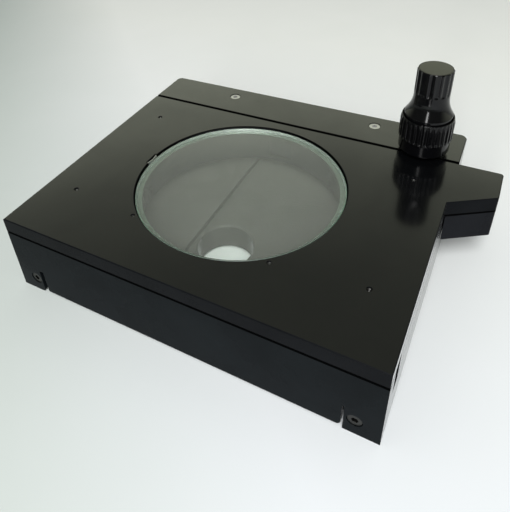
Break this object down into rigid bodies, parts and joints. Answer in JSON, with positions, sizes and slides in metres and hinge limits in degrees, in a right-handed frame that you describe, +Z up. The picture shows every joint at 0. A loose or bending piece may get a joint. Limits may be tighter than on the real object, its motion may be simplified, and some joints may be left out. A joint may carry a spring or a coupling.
{
  "type": "mechanical microscope stage",
  "caption": "Black mechanical microscope stage with a round glass in a sliding top plate, ball slides, coaxial rack-and-pinion knobs and a hole for light from below.",
  "frame": {"origin": "on the table, midway between the left and right sides of the base and midway between the front of the apron and the back of the rear strip", "axes": "+X to the right, towards the knobs and the wing; +Y to the back; +Z up"},
  "size_m": [0.2357, 0.1826, 0.105],
  "materials": {
    "black_base": "black anodised, satin",
    "black_apron": "black anodised, satin",
    "black_frame": "black anodised, satin",
    "black_strip": "black anodised, satin",
    "black_plate": "black anodised, satin",
    "black_carrier": "black anodised, satin",
    "stage_glass": "clear glass with a ground edge",
    "spring_steel": "bright spring steel",
    "apron_screw_steel": "zinc plated",
    "strip_screw_steel": "zinc plated",
    "screw_steel": "zinc plated",
    "rail_steel": "ground",
    "gear_steel": "machined",
    "shaft_steel": "ground",
    "ball_steel": "polished",
    "bush_brass": "turned",
    "gear_brass": "machined",
    "cage_brass": "rolled strip",
    "lower_knob_black": "glossy black",
    "upper_knob_black": "glossy black",
    "cap_olive": "matt olive grey",
    "washer_plastic": "matt black"
  },
  "bodies": {
    "base": {"base_plate": "black_base", "front_apron": "black_apron", "apron_screws": "apron_screw_steel", "y_rail_fixed_left": "rail_steel", "y_rail_fixed_right": "rail_steel", "y_rail_screws": "screw_steel", "y_rack": "gear_steel", "y_rack_screws": "screw_steel", "y_stop_pin": "gear_steel"},
    "y_carriage": {"carriage_frame": "black_frame", "rear_strip": "black_strip", "strip_screws": "strip_screw_steel", "y_rail_moving_left": "rail_steel", "y_rail_moving_right": "rail_steel", "y_moving_rail_screws": "screw_steel", "x_rail_front_fixed": "rail_steel", "x_rail_rear_fixed": "rail_steel", "x_front_rail_screws": "screw_steel", "x_rear_rail_screws": "screw_steel", "knob_bush": "bush_brass", "thrust_washer": "washer_plastic", "shaft_bush": "bush_brass"},
    "x_plate": {"top_plate": "black_plate", "glass_disc": "stage_glass", "glass_spring": "spring_steel", "rack_carrier": "black_carrier", "carrier_screws": "screw_steel", "wing_screws": "screw_steel", "x_rack": "gear_steel", "x_rack_screws": "screw_steel", "x_rail_front_moving": "rail_steel", "x_moving_rail_screws": "screw_steel"},
    "x_drive": {"lower_knob": "lower_knob_black", "lower_set_screw": "screw_steel", "outer_sleeve": "shaft_steel", "x_pinion": "gear_brass"},
    "y_drive": {"upper_knob": "upper_knob_black", "upper_set_screw": "screw_steel", "knob_cap": "cap_olive", "inner_shaft": "shaft_steel", "y_pinion": "gear_brass", "retaining_ring": "spring_steel"},
    "y_ball_rows": {"y_balls": "ball_steel", "y_ball_cages": "cage_brass"},
    "x_ball_rows": {"x_balls": "ball_steel", "x_ball_cages": "cage_brass"}
  },
  "joints": [
    {"name": "y_travel", "type": "slide", "parent": "base", "child": "y_carriage", "axis": [0, 1, 0], "range_m": [-0.0085, 0.0165]},
    {"name": "x_travel", "type": "slide", "parent": "y_carriage", "child": "x_plate", "axis": [1, 0, 0], "range_m": [-0.0375, 0.0375]},
    {"name": "x_knob", "type": "hinge", "parent": "y_carriage", "child": "x_drive", "pos_m": [0.084, 0.06575, 0.06], "axis": [0, 0, 1], "range_deg": [-270, 270]},
    {"name": "y_knob", "type": "hinge", "parent": "y_carriage", "child": "y_drive", "pos_m": [0.084, 0.06575, 0.09], "axis": [0, 0, 1], "range_deg": [-62, 119]},
    {"name": "y_ball_travel", "type": "slide", "parent": "base", "child": "y_ball_rows", "axis": [0, 1, 0], "range_m": [-0.0044, 0.0084]},
    {"name": "x_ball_travel", "type": "slide", "parent": "y_carriage", "child": "x_ball_rows", "axis": [1, 0, 0], "range_m": [-0.019, 0.019]}
  ],
  "couplings": [
    {"joint": "x_knob", "follows": "x_travel", "rad_per_m": 125},
    {"joint": "y_knob", "follows": "y_travel", "rad_per_m": 125},
    {"joint": "y_ball_travel", "follows": "y_travel", "ratio": 0.5},
    {"joint": "x_ball_travel", "follows": "x_travel", "ratio": 0.5}
  ]
}
